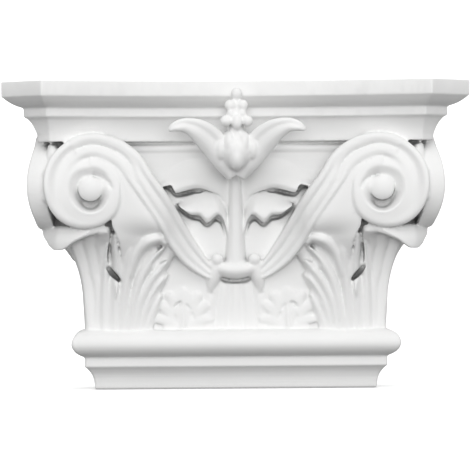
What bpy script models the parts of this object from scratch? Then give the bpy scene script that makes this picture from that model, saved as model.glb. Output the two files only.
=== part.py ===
"""Corinthian pilaster capital, cast in one piece.

Metres, +Z up. The face with the flower looks along -Y, the flat back lies
against the wall at +Y, and the origin is the middle of the neck's underside.
"""
import math

import bmesh
import bpy
from mathutils import Vector

# Overall sizes
WIDTH = 0.340            # across the tips of the abacus
HEIGHT = 0.224           # underside of the neck to the top of the abacus
NECK_WIDTH = 0.207       # the neck at its underside
NECK_DEPTH = 0.064       # the neck from its front to the wall

# Abacus
ABACUS_HEIGHT = 0.0433
FASCIA_HEIGHT = 0.0112
OVOLO_HEIGHT = 0.0083
FILLET_HEIGHT = 0.0062
FILLET_INSET = 0.0136    # fillet in from the top edge
CAVETTO_INSET = 0.0223   # foot of the abacus in from the top edge
ABACUS_HOLLOW = 0.030    # how far each face curves in at its middle
HORN_CUT = 0.030         # the tip cut off each horn, measured along the face

# Neck mouldings
NECK_COVE_HEIGHT = 0.0168
NECK_FILLET_HEIGHT = 0.0068
NECK_FILLET_OUT = 0.0073
TORUS_HEIGHT = 0.0196
TORUS_OUT = 0.0170

# Bell
BELL_OUT_LOW = 0.0030    # bell in front of the neck's face, at its foot
BELL_OUT_HIGH = 0.0115   # and under the abacus
LIP_HEIGHT = 0.0052
LIP_OUT = 0.0020
BELL_ROUND_LOW = 0.006
BELL_ROUND_HIGH = 0.034

# Volutes
EYE_OUT = 0.0022         # eye outside the neck's flank
EYE_DROP = 0.0344        # eye below the top of the bell
EYE_RADIUS = 0.0092
VOLUTE_START = 0.0503    # radius where the stalk runs in
VOLUTE_TOP = 0.0398      # radius a quarter turn on
VOLUTE_SIDE = 0.0320
VOLUTE_FOOT = 0.0290
VOLUTE_INNER = 0.0247
VOLUTE_CURL = 0.0212
VOLUTE_BACK = 0.0215     # the volute's face behind the abacus's front
VOLUTE_THICK = 0.0150
RIM_WIDTH = 0.0058
RIM_RISE = 0.0042

# Stalks, leaves and flower
STALK_RISE = 0.0090
LEAF_RISE = 0.0120
CORNER_LEAF_REACH = 0.0320
CORNER_LEAF_HALF = 0.0280
CORNER_LEAF_DROP = 0.0303
SMALL_LEAF_RISE = 0.0055
STEM_RISE = 0.0085
SIDE_LEAF_RISE = 0.0100
FLOWER_BACK = 0.0120     # the bud behind the abacus's front
PETAL_REACH = 0.0490
PETAL_LIFT = 0.0103      # petals above the top of the bell
BERRY_RADIUS = 0.0047
BUTTON_RADIUS = 0.0042

PAINT = (0.86, 0.86, 0.85, 1.0)

MM = WIDTH / 340.0       # one millimetre of the drawing
HALF = WIDTH / 2.0
NECK_HALF = NECK_WIDTH / 2.0
OVERHANG = HALF - NECK_HALF
FACE_Y = NECK_DEPTH / 2.0
FRONT = FACE_Y + OVERHANG
BELL_FOOT = NECK_COVE_HEIGHT + NECK_FILLET_HEIGHT + TORUS_HEIGHT
BELL_TOP = HEIGHT - ABACUS_HEIGHT
LIP_FOOT = BELL_TOP - 2.2 * MM - LIP_HEIGHT
MIRROR_SHIFT = HALF - FRONT
ARC_HALF = HALF - HORN_CUT
ARC_RADIUS = (ARC_HALF ** 2 + ABACUS_HOLLOW ** 2) / (2.0 * ABACUS_HOLLOW)
EYE_X = NECK_HALF + EYE_OUT
EYE_Z = BELL_TOP - EYE_DROP
VOLUTE_FACE = OVERHANG - VOLUTE_BACK
FLOWER_OUT = OVERHANG - FLOWER_BACK
CORNER_LEAF_TOP = EYE_Z - CORNER_LEAF_DROP
PETAL_TOP = BELL_TOP + PETAL_LIFT

FRONT_STEPS = 7
CORNER_STEPS = 3
SIDE_STEPS = 2


def mix(a, b, t):
    return a + (b - a) * t


def smooth(t):
    t = min(1.0, max(0.0, t))
    return t * t * (3.0 - 2.0 * t)


def bell_rise(z):
    t = (z - BELL_FOOT) / (LIP_FOOT - BELL_FOOT)
    return min(1.0, max(0.0, t))


def bell_out(z):
    t = bell_rise(z)
    return mix(BELL_OUT_LOW, BELL_OUT_HIGH, 0.35 * t + 0.65 * t ** 3)


def bell_round(z):
    return mix(BELL_ROUND_LOW, BELL_ROUND_HIGH, bell_rise(z) ** 1.5)


def bell_y(x, z):
    """Front surface of the bell at a point of the elevation."""
    out = bell_out(z)
    radius = bell_round(z)
    start = NECK_HALF + out - radius
    y = -(FACE_Y + out)
    past = abs(x) - start
    if past > 0.0:
        past = min(past, radius * 0.98)
        y += radius - math.sqrt(radius ** 2 - past ** 2)
    return y


def rounded_plan(out, radius):
    """Half-open plan of neck and bell, from the wall round to the wall."""
    half = NECK_HALF + out
    front = -(FACE_Y + out)
    back = FACE_Y
    pts = []
    for i in range(SIDE_STEPS):
        pts.append((half, mix(back, front + radius, i / SIDE_STEPS)))
    for i in range(CORNER_STEPS + 1):
        a = math.pi / 2.0 * i / CORNER_STEPS
        pts.append((half - radius + radius * math.cos(a), front + radius - radius * math.sin(a)))
    for i in range(1, FRONT_STEPS):
        pts.append((mix(half - radius, -(half - radius), i / FRONT_STEPS), front))
    return pts + mirrored_tail(pts)


def mirrored_tail(pts):
    count = SIDE_STEPS + CORNER_STEPS + 1
    return [(-x, y) for x, y in reversed(pts[:count])]


def horn_corner(inset):
    """Where the hollow front face meets the cut horn, for a given inset."""
    radius = ARC_RADIUS + inset
    centre = -(FRONT - ABACUS_HOLLOW) - ARC_RADIUS
    total = -(HALF + FRONT - HORN_CUT) + math.sqrt(2.0) * inset
    # x runs positive here: y = total + x on the cut face
    gap = total - centre
    x = (-gap + math.sqrt(2.0 * radius ** 2 - gap ** 2)) / 2.0
    return x, total + x


def hollow_plan(inset):
    """Plan of the abacus: hollow faces and cut horns, from wall to wall."""
    radius = ARC_RADIUS + inset
    cx, cy = horn_corner(inset)
    side = (MIRROR_SHIFT - cy, MIRROR_SHIFT - cx)
    centre_x = (ARC_HALF + ARC_RADIUS)
    centre_y = MIRROR_SHIFT
    pts = []
    for i in range(SIDE_STEPS):
        y = mix(FACE_Y, side[1], i / SIDE_STEPS)
        pts.append((centre_x - math.sqrt(radius ** 2 - (y - centre_y) ** 2), y))
    for i in range(CORNER_STEPS + 1):
        t = i / CORNER_STEPS
        pts.append((mix(side[0], cx, t), mix(side[1], cy, t)))
    centre = -(FRONT - ABACUS_HOLLOW) - ARC_RADIUS
    for i in range(1, FRONT_STEPS):
        x = mix(cx, -cx, i / FRONT_STEPS)
        pts.append((x, centre + math.sqrt(radius ** 2 - x ** 2)))
    return pts + mirrored_tail(pts)


def core_rings():
    rings = []

    def neck(z, out, radius=0.8 * MM):
        rings.append([Vector((x, y, z)) for x, y in rounded_plan(out, radius)])

    def abacus(z, inset):
        rings.append([Vector((x, y, z)) for x, y in hollow_plan(inset)])

    cove = NECK_COVE_HEIGHT
    for t, u in ((0.0, 0.0), (0.35, 0.08), (0.66, 0.42), (0.90, 0.86)):
        neck(cove * t, NECK_FILLET_OUT * u)
    neck(cove, NECK_FILLET_OUT)
    top = cove + NECK_FILLET_HEIGHT
    neck(top, NECK_FILLET_OUT)
    neck(top + 0.3 * MM, NECK_FILLET_OUT - 2.0 * MM)
    half = TORUS_HEIGHT / 2.0
    for k in range(-2, 3):
        a = math.pi / 2.0 * (k + 0.25) / 2.5
        bulge = (TORUS_OUT - NECK_FILLET_OUT) * math.cos(a)
        neck(top + half * (1.06 + 0.92 * math.sin(a)), NECK_FILLET_OUT + bulge, 1.5 * MM)
    steps = 4
    for k in range(steps + 1):
        z = mix(BELL_FOOT, LIP_FOOT, k / steps)
        neck(z, bell_out(z), bell_round(z))
    out = BELL_OUT_HIGH
    neck(LIP_FOOT + 0.4 * MM, out + LIP_OUT, BELL_ROUND_HIGH)
    neck(LIP_FOOT + LIP_HEIGHT, out + LIP_OUT, BELL_ROUND_HIGH)
    neck(LIP_FOOT + LIP_HEIGHT + 0.3 * MM, out - 1.0 * MM, BELL_ROUND_HIGH)
    neck(BELL_TOP - 0.3 * MM, out - 1.0 * MM, BELL_ROUND_HIGH)
    abacus(BELL_TOP, CAVETTO_INSET)
    cavetto = ABACUS_HEIGHT - FASCIA_HEIGHT - OVOLO_HEIGHT - FILLET_HEIGHT
    for t, u in ((0.45, 0.84), (0.80, 0.50), (0.98, 0.10)):
        abacus(BELL_TOP + cavetto * t, mix(FILLET_INSET, CAVETTO_INSET, u))
    z = BELL_TOP + cavetto
    abacus(z + 0.2 * MM, FILLET_INSET)
    abacus(z + FILLET_HEIGHT, FILLET_INSET)
    z += FILLET_HEIGHT
    for t, u in ((0.05, 0.93), (0.30, 0.60), (0.70, 0.22)):
        abacus(z + OVOLO_HEIGHT * t, FILLET_INSET * u)
    z += OVOLO_HEIGHT
    abacus(z, FILLET_INSET * 0.04)
    abacus(HEIGHT, 0.0)
    return rings


def loft(name, rings, collection):
    """Closed body through rings of points that match one to one."""
    mesh = bpy.data.meshes.new(name)
    bm = bmesh.new()
    rows = [[bm.verts.new(p) for p in ring] for ring in rings]
    count = len(rings[0])
    for low, high in zip(rows, rows[1:]):
        for i in range(count):
            j = (i + 1) % count
            bm.faces.new((low[i], low[j], high[j], high[i]))
    bm.faces.new(list(reversed(rows[0])))
    bm.faces.new(rows[-1])
    bmesh.ops.triangulate(bm, faces=[f for f in bm.faces if len(f.verts) > 4])
    bmesh.ops.recalc_face_normals(bm, faces=bm.faces[:])
    bm.to_mesh(mesh)
    bm.free()
    obj = bpy.data.objects.new(name, mesh)
    collection.objects.link(obj)
    return obj


def ball(name, centre, radii, collection, segments=10, rows=7):
    mesh = bpy.data.meshes.new(name)
    bm = bmesh.new()
    bmesh.ops.create_uvsphere(bm, u_segments=segments, v_segments=rows, radius=1.0)
    for v in bm.verts:
        v.co = Vector((v.co.x * radii[0], v.co.y * radii[1], v.co.z * radii[2])) + Vector(centre)
    bm.to_mesh(mesh)
    bm.free()
    obj = bpy.data.objects.new(name, mesh)
    collection.objects.link(obj)
    return obj


def copies(obj, ways, collection):
    """Copies turned to the left half and to the side faces."""
    made = [obj]
    for way in ways:
        mesh = obj.data.copy()
        flip = False
        for v in mesh.vertices:
            x, y, z = v.co
            if "side" in way:
                x, y = MIRROR_SHIFT - y, MIRROR_SHIFT - x
            if "left" in way:
                x = -x
            v.co = (x, y, z)
        if way in ("side", "left"):
            flip = True
        if flip:
            mesh.flip_normals()
        copy = bpy.data.objects.new(obj.name + "_" + way, mesh)
        collection.objects.link(copy)
        made.append(copy)
    return made


# The raised work is drawn in millimetres over the bell and moves with the eye
DRAWN_X = 104.4
DRAWN_FOOT = 42.4
DRAWN_RISE = 101.9

# Cross sections of the raised work: place across (-1 to 1) and share of its rise
ROUND = ((-1.0, 0.30), (-0.6, 0.85), (0.1, 1.0), (0.7, 0.78), (1.0, 0.25))
GOUGED = ((-1.0, 0.45), (-0.70, 0.96), (-0.05, 0.64), (0.68, 1.0), (1.0, 0.45))
DROOPED = ((-1.0, 0.90), (-0.60, 1.0), (0.0, 0.68), (0.6, 0.32), (1.0, 0.04))


def spot(x, z):
    """A drawn place over the bell at its real size."""
    return x / DRAWN_X * EYE_X, mix(BELL_FOOT, EYE_Z, (z - DRAWN_FOOT) / DRAWN_RISE)


def stroke(name, path, height, section, collection, embed=6.0):
    """Raised strip along a drawn path of (x, z, half width, share of its height)."""
    rings = []
    # Roots lie at slightly different depths, so no two share a plane
    root = (embed + 0.23 * len(collection.objects)) * MM
    last = len(path) - 1
    places = [spot(p[0], p[1]) for p in path]
    for i, (_x, _z, half, rise) in enumerate(path):
        x, z = places[i]
        before = places[max(0, i - 1)]
        after = places[min(last, i + 1)]
        dx = after[0] - before[0]
        dz = after[1] - before[1]
        size = math.hypot(dx, dz)
        nx, nz = -dz / size * half * MM, dx / size * half * MM
        ring = []
        for u, share in section:
            px, pz = x + u * nx, z + u * nz
            ring.append(Vector((px, bell_y(px, pz) - height * rise * share, pz)))
        for u in (1.0, -1.0):
            px, pz = x + u * nx, z + u * nz
            ring.append(Vector((px, bell_y(px, pz) + root, pz)))
        rings.append(ring)
    return loft(name, rings, collection)


def spiral_radius(turn):
    """Outer radius of the volute after so many degrees from its start."""
    marks = (VOLUTE_START, VOLUTE_TOP, VOLUTE_SIDE, VOLUTE_FOOT, VOLUTE_INNER, VOLUTE_CURL,
             VOLUTE_CURL * 0.79, VOLUTE_CURL * 0.63, VOLUTE_CURL * 0.50, VOLUTE_CURL * 0.42)
    t = min(turn / 90.0, 8.999)
    k = int(t)
    f = t - k
    if k == 0:
        f = 1.0 - (1.0 - f) ** 1.5
    return mix(marks[k], marks[k + 1], f)


def volute_y(x):
    """Face of the volute, which follows the hollow of the abacus a little."""
    return -(FACE_Y + VOLUTE_FACE) - 0.10 * (x - EYE_X)


def spiral_point(turn, radius, sink):
    a = math.radians(180.0 - turn)
    x = EYE_X + radius * math.cos(a)
    return Vector((x, volute_y(x) + sink, EYE_Z + radius * math.sin(a)))


def volute(collection):
    made = []
    turns = [58.0 + 20.1 * k for k in range(16)]
    flat = [[spiral_point(t, spiral_radius(t) - 1.0 * MM, s) for t in turns] for s in (RIM_RISE, VOLUTE_THICK)]
    made.append(loft("scroll", flat, collection))
    rings = []
    count = 18
    for k in range(count):
        t = 96.0 + 27.0 * k
        r = spiral_radius(t)
        w = RIM_WIDTH * (1.0 - 0.45 * k / count)
        low = RIM_RISE + 1.3 * MM
        spots = ((0.0, low), (0.0, 1.0 * MM), (0.55, 0.2 * MM), (1.1, low))
        rings.append([spiral_point(t, r - w * u, s) for u, s in spots])
    made.append(loft("scroll_rim", rings, collection))
    eye = (EYE_X, volute_y(EYE_X) + RIM_RISE * 0.9, EYE_Z)
    made.append(ball("scroll_eye", eye, (EYE_RADIUS, EYE_RADIUS * 0.62, EYE_RADIUS), collection, 8, 5))
    return made


def stalk(collection):
    """Reeded stalk from the middle of the foot, widening into the volute."""
    pairs = []
    low = (
        ((13.9, 86.1), (15.2, 78.9), 0.00), ((20.5, 92.8), (23.5, 80.6), 0.08),
        ((29.7, 107.0), (36.9, 89.7), 0.26), ((40.0, 124.3), (47.0, 101.8), 0.50),
        ((48.6, 137.5), (54.6, 115.7), 0.76),
    )
    for inner, outer, share in low:
        pairs.append((spot(*inner), spot(*outer), share))
    for t, share in ((12.0, 0.92), (34.0, 1.0), (56.0, 1.0), (78.0, 1.0), (101.0, 1.0)):
        a = spiral_point(t, spiral_radius(t) + 0.3 * MM, 0.0)
        foot = max(spiral_radius(t + 366.0) - 1.4 * MM, VOLUTE_START * 0.55 - 0.2 * MM * t)
        b = spiral_point(t + 6.0, foot, 0.0)
        pairs.append(((a.x, a.z), (b.x, b.z), share))
    section = ((0.0, 1.0), (0.24, 0.0), (0.38, 3.0), (0.62, 2.6), (0.84, 0.9), (1.0, 3.4))
    rings = []
    for (ax, az), (bx, bz), share in pairs:
        ring = []
        for u, sink in section:
            x, z = mix(ax, bx, u), mix(az, bz, u)
            near = bell_y(x, z) - STALK_RISE * 0.75
            y = mix(near, volute_y(x), smooth(share))
            ring.append(Vector((x, y + sink * MM * mix(0.7, 1.15, share), z)))
        for x, z in ((bx, bz), (ax, az)):
            y = mix(bell_y(x, z) + 4.0 * MM, volute_y(x) + VOLUTE_THICK, smooth((share - 0.6) / 0.4) * 0.55)
            ring.append(Vector((x, y, z)))
        rings.append(ring)
    return loft("stalk", rings, collection)


def cheek(collection):
    """Wall between the volute's coil and the stalk, running down into the leaf."""
    # Each mark: coil side and stalk side from the eye, depth behind the face, share of that face
    marks = (
        ((13.0, 9.0), (20.0, 15.0), 5.2, 1.00), ((20.5, -1.2), (35.0, 1.6), 5.4, 1.00),
        ((19.0, -12.5), (44.6, -12.4), 5.0, 1.00), ((17.5, -25.0), (51.6, -28.4), 5.1, 0.97),
        ((24.6, -34.6), (53.0, -36.7), 4.2, 0.66), ((26.6, -43.0), (51.0, -43.6), 3.2, 0.33),
        ((28.8, -50.2), (48.0, -50.6), 2.2, 0.07),
    )
    rings = []
    for (ax, az), (bx, bz), sink, share in marks:
        ring = []
        for u, swell in ((0.0, 1.2), (0.5, 0.0), (1.0, 1.6)):
            x = EYE_X - mix(ax, bx, u) * MM
            z = EYE_Z + mix(az, bz, u) * MM
            near = bell_y(x, z) - LEAF_RISE * 0.7
            ring.append(Vector((x, mix(near, volute_y(x) + sink * MM, share) + swell * MM, z)))
        for x, z in ((bx, bz), (ax, az)):
            px, pz = EYE_X - x * MM, EYE_Z + z * MM
            ring.append(Vector((px, bell_y(px, pz) + 5.3 * MM, pz)))
        rings.append(ring)
    return loft("cheek", rings, collection)


def corner_leaf(collection):
    """Leaf that wraps the bell's corner and curls out under both volutes."""
    reach = CORNER_LEAF_REACH
    top = CORNER_LEAF_TOP
    low = BELL_FOOT + 0.4 * MM
    # Each mark: reach, height, half width, wrap round the corner, thickness
    marks = (
        (0.04, 0.00, 0.56, 1.00, 1.0), (0.11, 0.42, 0.64, 1.00, 1.0),
        (0.20, 0.65, 0.76, 0.93, 1.0), (0.36, 0.80, 0.94, 0.79, 1.0), (0.60, 0.925, 1.08, 0.60, 1.0),
        (0.82, 1.00, 1.10, 0.46, 0.85), (0.97, 0.965, 0.92, 0.40, 0.45), (1.03, 0.895, 0.62, 0.37, 0.20),
        (1.01, 0.82, 0.28, 0.35, 0.12),
    )
    corner_x = NECK_HALF + BELL_OUT_LOW
    corner_y = -(FACE_Y + BELL_OUT_LOW)
    rings = []
    steps = 8
    last = len(marks) - 1
    for k, (s, h, w, wrap, thin) in enumerate(marks):
        before = marks[max(0, k - 1)]
        after = marks[min(last, k + 1)]
        ds = (after[0] - before[0]) * reach
        dh = (after[1] - before[1]) * (top - low)
        size = math.hypot(ds, dh)
        out_s, out_h = dh / size, -ds / size
        outer = []
        inner = []
        for i in range(steps + 1):
            u = mix(-1.0, 1.0, i / steps)
            rib = 1.2 if i % 2 == 0 else -0.9
            q = u * CORNER_LEAF_HALF * w
            back = abs(q) * wrap * 0.97
            for lift, out in ((1.8 + rib, outer), (-5.6 * thin, inner)):
                if out is inner and i % 2 == 1:
                    continue
                d = s * reach - back + lift * MM * out_s
                z = mix(low, top, h) + lift * MM * out_h
                x = corner_x + (d + q) / math.sqrt(2.0)
                y = corner_y - (d - q) / math.sqrt(2.0)
                out.append(Vector((x, y, z)))
        rings.append(outer + list(reversed(inner)))
    return loft("corner_leaf", rings, collection)


def inner_leaf(collection):
    """Half leaf beside the corner leaf, with lobes towards the middle."""
    made = []
    main = ((78.7, 40.2, 5.0, 0.45), (77.5, 64.0, 6.8, 0.72), (72.8, 86.0, 8.8, 0.98),
            (63.2, 105.2, 7.8, 1.28), (57.5, 109.8, 5.6, 1.30), (52.0, 112.5, 2.0, 1.05))
    made.append(stroke("leaf_main", main, LEAF_RISE, GOUGED, collection))
    lobes = (
        ((74.5, 66.0), (65.0, 85.0), (54.5, 96.0), 5.4, 0.85),
        ((74.0, 54.0), (62.5, 72.0), (49.5, 85.5), 5.6, 0.75),
        ((72.5, 40.5), (62.0, 57.0), (52.5, 73.0), 5.0, 0.62),
    )
    for n, (a, b, c, half, rise) in enumerate(lobes):
        path = []
        for k in range(4):
            t = k / 3.0
            x = mix(mix(a[0], b[0], t), mix(b[0], c[0], t), t)
            z = mix(mix(a[1], b[1], t), mix(b[1], c[1], t), t)
            w = half * (0.7 + 1.1 * t - 1.35 * t ** 3)
            path.append((x, z, w, rise * (0.6 + 0.4 * t)))
        made.append(stroke("leaf_lobe%d" % n, path, LEAF_RISE, ROUND, collection))
    return made


def small_leaf(collection):
    """Low spreading leaf at the foot of the bell."""
    made = []
    root = (37.0, 45.0)
    tips = ((56.0, 56.0, 3.8), (49.0, 66.5, 4.2), (37.5, 70.0, 4.4), (27.0, 65.0, 4.2), (21.5, 54.0, 3.8))
    for n, (x, z, half) in enumerate(tips):
        path = []
        for k in range(3):
            t = k / 2.0
            w = half * (0.75 + 0.9 * t - 1.25 * t ** 3)
            start = root[0] + 0.7 * (2 - n)
            path.append((mix(start, x, t), mix(root[1] + 0.37 * n, z, t), w, 0.7 + 0.3 * t + 0.03 * n))
        made.append(stroke("low_lobe%d" % n, path, SMALL_LEAF_RISE, ROUND, collection))
    return made


def tier(name, upper, lower, height, embed, collection):
    """Drooping sheet between an upper edge on the bell and a scalloped lower edge in front of it."""
    rings = []
    last = len(upper) - 1
    for i, ((ax, az), (bx, bz)) in enumerate(zip(upper, lower)):
        ring = []
        grow = 0.45 + 0.55 * smooth(i / last * 1.6)
        for u, rise in ((0.0, 0.10), (0.45, 0.55), (0.85, 1.0), (1.0, 0.88)):
            x, z = spot(mix(ax, bx, u), mix(az, bz, u))
            ring.append(Vector((x, bell_y(x, z) - height * rise * grow, z)))
        for u in (0.97, 0.04):
            x, z = spot(mix(ax, bx, u), mix(az, bz, u))
            ring.append(Vector((x, bell_y(x, z) + embed * MM, z)))
        rings.append(ring)
    return loft(name, rings, collection)


def side_leaf(collection):
    """Two drooping tiers of the leaf beside the stem."""
    upper_top = ((2.4, 151.0), (9.0, 159.0), (20.0, 163.5), (32.0, 164.0), (42.0, 161.0), (48.0, 156.5),
                 (53.0, 151.8), (57.2, 146.6))
    upper_low = ((5.0, 128.5), (8.5, 138.0), (16.0, 142.6), (25.5, 144.4), (36.0, 142.8), (43.5, 141.6),
                 (46.6, 147.6), (56.6, 144.6))
    lower_top = ((3.4, 108.0), (5.0, 119.0), (7.2, 131.0), (12.0, 139.0), (19.5, 142.4), (27.5, 141.6),
                 (34.5, 138.8), (40.6, 135.0))
    lower_low = ((4.6, 100.0), (6.8, 112.0), (9.8, 121.0), (13.4, 125.4), (20.6, 120.4), (26.8, 125.8),
                 (33.4, 127.4), (41.6, 132.4))
    return [tier("tier_upper", upper_top, upper_low, SIDE_LEAF_RISE, 5.1, collection),
            tier("tier_lower", lower_top, lower_low, SIDE_LEAF_RISE * 1.08, 5.9, collection)]


def petal(collection):
    """Petal that sweeps up and out from the bud."""
    out = FACE_Y + FLOWER_OUT
    top = PETAL_TOP
    reach = PETAL_REACH
    marks = ((0.09, -36.0, 3.6, 0.82), (0.20, -25.0, 7.8, 0.90), (0.36, -12.0, 10.2, 0.96),
             (0.56, -3.5, 8.5, 1.03), (0.76, 0.5, 5.2, 1.08), (0.92, -1.0, 3.2, 1.10),
             (1.00, -3.5, 1.2, 1.09))
    path = [(reach * s, top + h * MM, half * MM, out * share) for s, h, half, share in marks]
    rings = []
    last = len(path) - 1
    for i, (x, z, half, depth) in enumerate(path):
        before = path[max(0, i - 1)]
        after = path[min(last, i + 1)]
        dx = after[0] - before[0]
        dz = after[1] - before[1]
        size = math.hypot(dx, dz)
        nx, nz = -dz / size, dx / size
        ring = []
        for u, p in ((-1.0, 2.2), (-0.5, 0.0), (0.2, 1.6), (0.8, 0.5), (1.0, 3.0)):
            ring.append(Vector((x + u * half * nx, -depth + p * MM, z + u * half * nz)))
        thick = 16.0 * MM * (1.0 - 0.45 * i / last)
        for u in (0.9, -0.9):
            ring.append(Vector((x + u * half * nx, -depth + thick, z + u * half * nz)))
        rings.append(ring)
    return loft("petal", rings, collection)


def main():
    for obj in list(bpy.data.objects):
        bpy.data.objects.remove(obj, do_unlink=True)
    scene = bpy.context.scene
    home = bpy.data.collections.new("corinthian_capital")
    scene.collection.children.link(home)
    tools = bpy.data.collections.new("cutters")
    scene.collection.children.link(tools)
    raised = bpy.data.collections.new("raised_work")
    scene.collection.children.link(raised)

    capital = loft("capital", core_rings(), home)

    both = ("left", "side", "side_left")
    for obj in volute(raised):
        copies(obj, both, raised)
    copies(stalk(raised), both, raised)
    copies(cheek(raised), both, raised)
    copies(corner_leaf(raised), ("left",), raised)
    for obj in inner_leaf(raised):
        copies(obj, both, raised)
    for obj in small_leaf(raised):
        copies(obj, ("left",), raised)
    for obj in side_leaf(raised):
        copies(obj, ("left",), raised)
    copies(petal(raised), ("left",), raised)

    # Beads in the cleft between the two volutes of each corner
    edge = EYE_X + VOLUTE_SIDE
    for n, up in enumerate((12.0, 3.0, -6.2)):
        place = edge + 1.5 * MM
        bead = ball("cleft_bead%d" % n, (place, MIRROR_SHIFT - place, EYE_Z + up * MM),
                    (4.2 * MM, 4.2 * MM, 5.0 * MM), raised, 6, 4)
        copies(bead, ("left",), raised)
    post_x = edge - 5.0 * MM
    post = [[Vector((post_x + 4.5 * MM * math.cos(a), MIRROR_SHIFT - post_x + 4.5 * MM * math.sin(a), z))
             for a in [math.radians(45.0 * k) for k in range(8)]]
            for z in (EYE_Z - 24.0 * MM, EYE_Z + 30.0 * MM)]
    copies(loft("cleft_post", post, raised), ("left",), raised)
    web_in = NECK_HALF + BELL_OUT_HIGH - 20.0 * MM
    web_out = edge - 4.0 * MM
    web = []
    for z in (EYE_Z - 23.0 * MM, EYE_Z + 29.0 * MM):
        web.append([Vector((web_in, MIRROR_SHIFT - web_in - 12.0 * MM, z)),
                    Vector((web_out, MIRROR_SHIFT - web_out - 1.2 * MM, z)),
                    Vector((web_out - 1.2 * MM, MIRROR_SHIFT - web_out + 1.2 * MM, z)),
                    Vector((web_in + 12.0 * MM, MIRROR_SHIFT - web_in + 12.0 * MM, z))])
    copies(loft("corner_web", web, raised), ("left",), raised)

    # Stem, calyx and buttons
    stem = ((0.0, 83.0, 6.8, 0.8), (0.0, 96.0, 6.0, 1.0), (0.0, 120.0, 4.8, 1.0), (0.0, 140.0, 4.0, 1.1),
            (0.0, 158.0, 4.6, 1.7))
    stroke("stem", stem, STEM_RISE, ROUND, raised)
    lip = ((-17.5, 85.0, 3.0, 0.8), (-11.0, 83.5, 4.2, 1.1), (0.0, 82.5, 4.8, 1.25), (11.0, 83.5, 4.2, 1.1),
           (17.5, 85.0, 3.0, 0.8))
    stroke("calyx", lip, STEM_RISE, DROOPED, raised)
    button_x, button_z = spot(13.5, 93.3)
    button_y = bell_y(0.0, button_z) - 1.6 * MM
    button = ball("button", (button_x, button_y, button_z), (BUTTON_RADIUS,) * 3, raised, 8, 5)
    copies(button, ("left",), raised)
    stub = ((15.9, 80.3, 3.0, 0.9), (17.0, 74.5, 3.0, 0.7), (19.5, 70.0, 1.2, 0.5))
    copies(stroke("stub", stub, STEM_RISE, ROUND, raised), ("left",), raised)

    # Bud with its beads
    out = FACE_Y + FLOWER_OUT
    bud_z = PETAL_TOP - 18.0 * MM

    def bud_ball(name, x, back, up, radii, segments=8, rows=5):
        centre = (x * MM, -out + back * MM, bud_z + up * MM)
        return ball(name, centre, tuple(r * MM for r in radii), raised, segments, rows)

    bud_ball("bud_heart", 0.0, 24.0, -1.0, (15.0, 24.0, 17.0), 10, 6)
    bud_ball("bud_middle", 0.0, 3.0, 0.0, (7.5, 9.0, 12.5), 8, 7)
    copies(bud_ball("bud_side", 11.2, 6.0, 1.0, (7.8, 9.0, 12.0), 8, 7), ("left",), raised)
    spine = [[Vector((w * MM * math.cos(a), -out + (y + 12.0 * math.sin(a)) * MM, bud_z + up * MM))
              for a in [math.radians(45.0 * k) for k in range(8)]]
             for w, y, up in ((10.0, 14.0, 5.0), (8.5, 15.0, 20.0), (6.0, 16.0, 33.0), (2.8, 18.0, 42.0))]
    loft("spine", spine, raised)
    r = BERRY_RADIUS / MM
    bud_ball("berry_top", 0.0, 8.0, 41.2, (r * 0.95, r, r))
    copies(bud_ball("berry_upper", 4.6, 6.5, 32.5, (r, r, r)), ("left",), raised)
    copies(bud_ball("berry_lower", 7.6, 5.0, 21.0, (r, r * 1.1, r)), ("left",), raised)
    bud_ball("berry_middle", 0.0, 4.0, 19.5, (r * 0.9, r * 1.1, r * 1.4))

    # One casting: all raised work becomes part of the core
    union = capital.modifiers.new("one_casting", "BOOLEAN")
    union.operation = "UNION"
    union.solver = "EXACT"
    union.use_self = True
    union.operand_type = "COLLECTION"
    union.collection = raised
    for obj in raised.objects:
        obj.hide_render = True
        obj.display_type = "WIRE"

    # Everything behind the wall plane is cut away
    wall = bpy.data.meshes.new("wall_cut")
    bm = bmesh.new()
    bmesh.ops.create_cube(bm, size=1.0)
    for v in bm.verts:
        v.co = Vector((v.co.x * WIDTH * 3.0, (v.co.y + 0.5) * WIDTH + FACE_Y, v.co.z * HEIGHT * 4.0))
    bm.to_mesh(wall)
    bm.free()
    block = bpy.data.objects.new("wall_cut", wall)
    tools.objects.link(block)
    block.hide_render = True
    block.display_type = "WIRE"
    cut = capital.modifiers.new("wall_plane", "BOOLEAN")
    cut.operation = "DIFFERENCE"
    cut.solver = "EXACT"
    cut.object = block

    paint = bpy.data.materials.new("white_primer")
    paint.use_nodes = True
    shader = paint.node_tree.nodes["Principled BSDF"]
    shader.inputs["Base Color"].default_value = PAINT
    shader.inputs["Roughness"].default_value = 0.62
    shader.inputs["Metallic"].default_value = 0.0
    capital.data.materials.append(paint)
    return capital


main()
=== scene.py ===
import math

import bmesh
import bpy
import numpy as np
from mathutils import Matrix, Vector


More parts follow.
